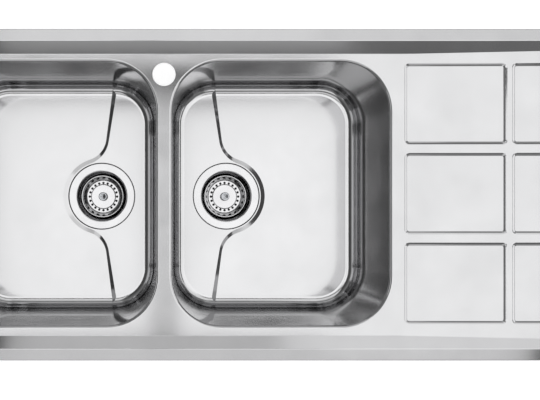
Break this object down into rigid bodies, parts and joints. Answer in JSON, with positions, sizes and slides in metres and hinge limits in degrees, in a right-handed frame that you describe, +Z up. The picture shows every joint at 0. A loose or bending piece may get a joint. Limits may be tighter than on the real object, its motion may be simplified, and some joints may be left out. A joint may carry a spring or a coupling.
{
  "type": "kitchen sink",
  "caption": "Inset stainless steel kitchen sink with two bowls, a drainer with square panels, a tap hole, basket strainer wastes and swinging worktop clamps.",
  "frame": {"origin": "middle of the rim's outline, in the plane where the rim rests on the worktop", "axes": "+X along the sink towards the drainer, +Y towards the back edge with the tap hole, +Z up"},
  "size_m": [1.16, 0.5, 0.2814],
  "materials": {
    "pressed_steel": "satin",
    "polished_steel": "polished",
    "knob_metal": "plated",
    "bracket_steel": "galvanised",
    "zinc": "zinc plated",
    "gasket_rubber": "matte",
    "foam": "closed-cell foam",
    "damping_pad": "matte",
    "waste_plastic": "moulded"
  },
  "bodies": {
    "sink": {"deck": "pressed_steel", "left_bowl": "pressed_steel", "right_bowl": "pressed_steel", "rim_seal": "foam", "left_sound_pad": "damping_pad", "right_sound_pad": "damping_pad", "clamp_brackets": "bracket_steel", "clamp_screws": "zinc", "left_waste_flange": "polished_steel", "left_flange_gasket": "gasket_rubber", "left_body_gasket": "gasket_rubber", "left_waste_body": "waste_plastic", "left_waste_screw": "polished_steel", "right_waste_flange": "polished_steel", "right_flange_gasket": "gasket_rubber", "right_body_gasket": "gasket_rubber", "right_waste_body": "waste_plastic", "right_waste_screw": "polished_steel"},
    "left_basket": {"left_basket": "polished_steel", "left_basket_seal": "gasket_rubber", "left_basket_knob": "knob_metal", "left_knob_screw": "polished_steel"},
    "right_basket": {"right_basket": "polished_steel", "right_basket_seal": "gasket_rubber", "right_basket_knob": "knob_metal", "right_knob_screw": "polished_steel"},
    "clamp_claw_01": {"clamp_claw_01": "zinc"},
    "clamp_claw_02": {"clamp_claw_02": "zinc"},
    "clamp_claw_03": {"clamp_claw_03": "zinc"},
    "clamp_claw_04": {"clamp_claw_04": "zinc"},
    "clamp_claw_05": {"clamp_claw_05": "zinc"},
    "clamp_claw_06": {"clamp_claw_06": "zinc"},
    "clamp_claw_07": {"clamp_claw_07": "zinc"},
    "clamp_claw_08": {"clamp_claw_08": "zinc"},
    "clamp_claw_09": {"clamp_claw_09": "zinc"},
    "clamp_claw_10": {"clamp_claw_10": "zinc"},
    "clamp_claw_11": {"clamp_claw_11": "zinc"},
    "clamp_claw_12": {"clamp_claw_12": "zinc"}
  },
  "joints": [
    {"name": "left_basket_lift", "type": "slide", "parent": "sink", "child": "left_basket", "axis": [0, 0, 1], "range_m": [0, 0.26]},
    {"name": "right_basket_lift", "type": "slide", "parent": "sink", "child": "right_basket", "axis": [0, 0, 1], "range_m": [0, 0.26]},
    {"name": "clamp_swing_01", "type": "hinge", "parent": "sink", "child": "clamp_claw_01", "pos_m": [-0.485, 0.222, -0.04475], "axis": [0, 0, 1], "range_deg": [0, 90]},
    {"name": "clamp_swing_02", "type": "hinge", "parent": "sink", "child": "clamp_claw_02", "pos_m": [-0.485, -0.222, -0.04475], "axis": [0, 0, 1], "range_deg": [0, 90]},
    {"name": "clamp_swing_03", "type": "hinge", "parent": "sink", "child": "clamp_claw_03", "pos_m": [-0.16167, 0.222, -0.04475], "axis": [0, 0, 1], "range_deg": [0, 90]},
    {"name": "clamp_swing_04", "type": "hinge", "parent": "sink", "child": "clamp_claw_04", "pos_m": [-0.16167, -0.222, -0.04475], "axis": [0, 0, 1], "range_deg": [0, 90]},
    {"name": "clamp_swing_05", "type": "hinge", "parent": "sink", "child": "clamp_claw_05", "pos_m": [0.16167, 0.222, -0.04475], "axis": [0, 0, 1], "range_deg": [0, 90]},
    {"name": "clamp_swing_06", "type": "hinge", "parent": "sink", "child": "clamp_claw_06", "pos_m": [0.16167, -0.222, -0.04475], "axis": [0, 0, 1], "range_deg": [0, 90]},
    {"name": "clamp_swing_07", "type": "hinge", "parent": "sink", "child": "clamp_claw_07", "pos_m": [0.485, 0.222, -0.04475], "axis": [0, 0, 1], "range_deg": [0, 90]},
    {"name": "clamp_swing_08", "type": "hinge", "parent": "sink", "child": "clamp_claw_08", "pos_m": [0.485, -0.222, -0.04475], "axis": [0, 0, 1], "range_deg": [0, 90]},
    {"name": "clamp_swing_09", "type": "hinge", "parent": "sink", "child": "clamp_claw_09", "pos_m": [0.552, -0.125, -0.04475], "axis": [0, 0, 1], "range_deg": [0, 90]},
    {"name": "clamp_swing_10", "type": "hinge", "parent": "sink", "child": "clamp_claw_10", "pos_m": [-0.552, -0.125, -0.04475], "axis": [0, 0, 1], "range_deg": [0, 90]},
    {"name": "clamp_swing_11", "type": "hinge", "parent": "sink", "child": "clamp_claw_11", "pos_m": [0.552, 0.125, -0.04475], "axis": [0, 0, 1], "range_deg": [0, 90]},
    {"name": "clamp_swing_12", "type": "hinge", "parent": "sink", "child": "clamp_claw_12", "pos_m": [-0.552, 0.125, -0.04475], "axis": [0, 0, 1], "range_deg": [0, 90]}
  ]
}
